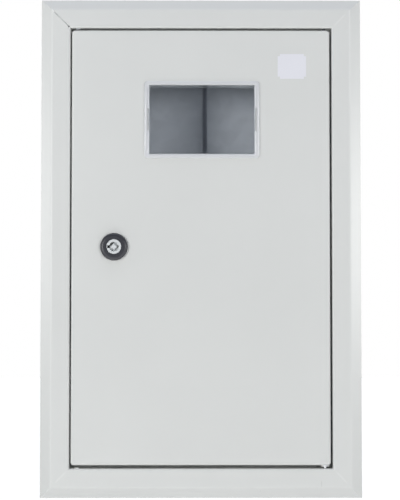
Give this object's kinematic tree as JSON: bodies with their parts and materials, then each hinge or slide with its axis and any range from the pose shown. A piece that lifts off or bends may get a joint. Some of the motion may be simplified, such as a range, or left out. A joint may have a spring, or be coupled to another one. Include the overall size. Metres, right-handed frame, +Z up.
{
  "type": "electric meter box",
  "caption": "Flush-mounted sheet-steel electric meter box: bevelled frame, hinged door with clear window and quarter-turn lock, slotted meter plate, breaker rail and terminal bars.",
  "frame": {"origin": "centre of the outer back face, between the four wall fixing holes", "axes": "+X to the right seen from the front, +Y from the front into the wall, +Z up"},
  "size_m": [0.3206, 0.1341, 0.4984],
  "materials": {
    "grey_paint": "smooth satin light grey powder coat",
    "galvanised_sheet": "matt hot-dip zinc on sheet steel",
    "zinc_plated_steel": "bright zinc plate",
    "blackened_steel": "black oxide on steel, oiled",
    "pale_nylon": "moulded natural nylon",
    "brass": "drawn brass",
    "insulator_plastic": "moulded blue polyamide",
    "clear_plastic": "clear polycarbonate, polished",
    "black_plastic": "satin black glass-filled polyamide",
    "nickel_plate": "satin nickel plate on die-cast zinc"
  },
  "bodies": {
    "cabinet": {"back_box": "galvanised_sheet", "front_frame": "grey_paint", "lower_hinge_pin": "zinc_plated_steel", "upper_hinge_pin": "blackened_steel", "spare_hinge_plugs": "pale_nylon", "meter_plate": "galvanised_sheet", "meter_plate_studs": "zinc_plated_steel", "meter_plate_nuts": "zinc_plated_steel", "din_rail": "zinc_plated_steel", "left_rail_bracket": "galvanised_sheet", "right_rail_bracket": "galvanised_sheet", "rail_screws": "zinc_plated_steel", "earth_bar": "brass", "earth_bar_posts": "zinc_plated_steel", "earth_bar_screws": "zinc_plated_steel", "earth_clamp_screws": "zinc_plated_steel", "neutral_bar": "brass", "neutral_bar_insulators": "insulator_plastic", "neutral_bar_screws": "zinc_plated_steel", "neutral_clamp_screws": "zinc_plated_steel", "earth_stud": "zinc_plated_steel", "earth_washer": "zinc_plated_steel", "earth_nut": "zinc_plated_steel"},
    "door": {"door_panel": "grey_paint", "window": "clear_plastic", "lower_hinge_bush": "pale_nylon", "upper_hinge_bush": "pale_nylon", "lock_housing": "black_plastic", "lock_nut": "zinc_plated_steel", "door_earth_stud": "zinc_plated_steel", "door_earth_nut": "zinc_plated_steel"},
    "lock": {"lock_insert": "nickel_plate", "lock_cam": "zinc_plated_steel", "cam_washer": "zinc_plated_steel", "cam_bolt": "zinc_plated_steel"}
  },
  "joints": [
    {"name": "door_hinge", "type": "hinge", "parent": "cabinet", "child": "door", "pos_m": [0.1231, -0.125, 0], "axis": [0, 0, 1], "range_deg": [0, 115]},
    {"name": "lock_turn", "type": "hinge", "parent": "door", "child": "lock", "pos_m": [-0.0866, -0.12, 0.00025], "axis": [0, 1, 0], "range_deg": [0, 90]}
  ]
}
